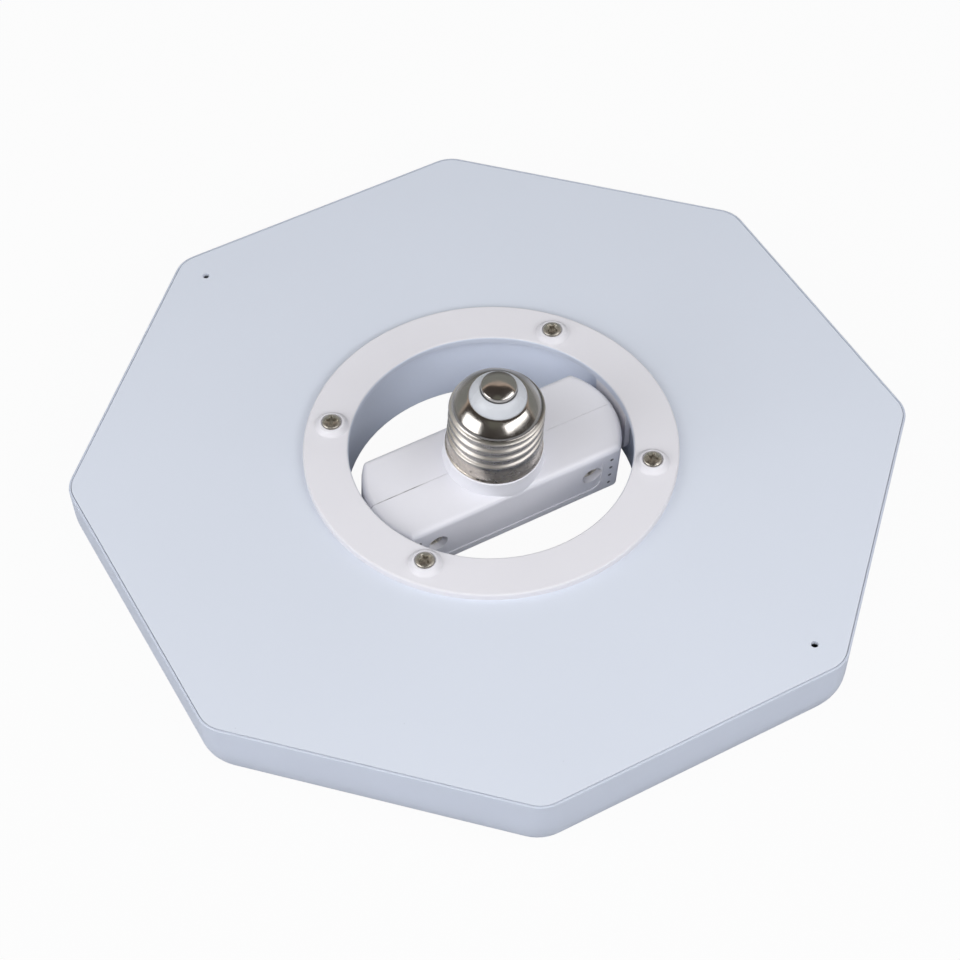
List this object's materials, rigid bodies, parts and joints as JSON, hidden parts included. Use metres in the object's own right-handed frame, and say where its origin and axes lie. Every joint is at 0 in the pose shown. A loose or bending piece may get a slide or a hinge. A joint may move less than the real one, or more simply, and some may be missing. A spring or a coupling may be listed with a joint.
{
  "type": "screw-in ceiling light",
  "caption": "Flat octagonal LED ceiling light with an open centre, in which a driver box with a screw cap tilts on a friction hinge.",
  "frame": {"origin": "centre of the octagonal front face, which is the lowest face as the light lies on its front", "axes": "+Z out of the panel's back, towards the ceiling; X along the driver's hinge; Y across the driver box, square to two flat sides of the panel"},
  "size_m": [0.214, 0.214, 0.0543],
  "materials": {
    "white_coated_sheet": "smooth white coating on sheet aluminium",
    "opal_plastic": "opal light-diffusing plastic, satin",
    "white_plastic": "moulded white plastic, satin",
    "nickel_steel": "nickel-plated steel",
    "thermal_adhesive": "grey-white thermal adhesive",
    "board_white": "white solder mask on an aluminium core",
    "led_phosphor": "yellow phosphor in a white package",
    "terminal_plastic": "moulded white",
    "lead_insulation": "extruded insulation",
    "driver_plastic": "moulded white plastic, satin",
    "nickel_plate": "bright nickel plate on brass",
    "insulator_white": "moulded white",
    "circuit_board": "glass-fibre board with green solder mask",
    "capacitor_sleeve": "shrunk sleeve",
    "ferrite": "ground ferrite",
    "coil_tape": "yellow polyester tape",
    "film_capacitor_case": "moulded case",
    "resistor_lacquer": "lacquer",
    "chip_moulding": "moulded epoxy",
    "live_insulation": "brown insulation",
    "neutral_insulation": "blue insulation"
  },
  "bodies": {
    "panel": {"back_plate": "white_coated_sheet", "diffuser": "opal_plastic", "mounting_ring": "white_plastic", "ring_screws": "nickel_steel", "adhesive_sheet": "thermal_adhesive", "led_board": "board_white", "led_chips": "led_phosphor", "wire_terminal": "terminal_plastic", "panel_leads": "lead_insulation"},
    "driver": {"driver_shell_near": "driver_plastic", "driver_shell_far": "driver_plastic", "driver_screws": "nickel_steel", "cap_shell": "nickel_plate", "cap_insulator": "insulator_white", "cap_contact": "nickel_plate", "driver_pcb": "circuit_board", "bulk_capacitor": "capacitor_sleeve", "output_capacitor": "capacitor_sleeve", "transformer_core": "ferrite", "transformer_winding": "coil_tape", "film_capacitor": "film_capacitor_case", "input_choke": "ferrite", "fuse_resistor": "resistor_lacquer", "bridge_rectifier": "chip_moulding", "driver_chip": "chip_moulding", "live_lead": "live_insulation", "neutral_lead": "neutral_insulation", "output_leads": "lead_insulation"}
  },
  "joints": [
    {"name": "driver_hinge", "type": "hinge", "parent": "panel", "child": "driver", "pos_m": [0, 0, 0.011], "axis": [1, 0, 0], "range_deg": [-66.6, 53.4]}
  ]
}
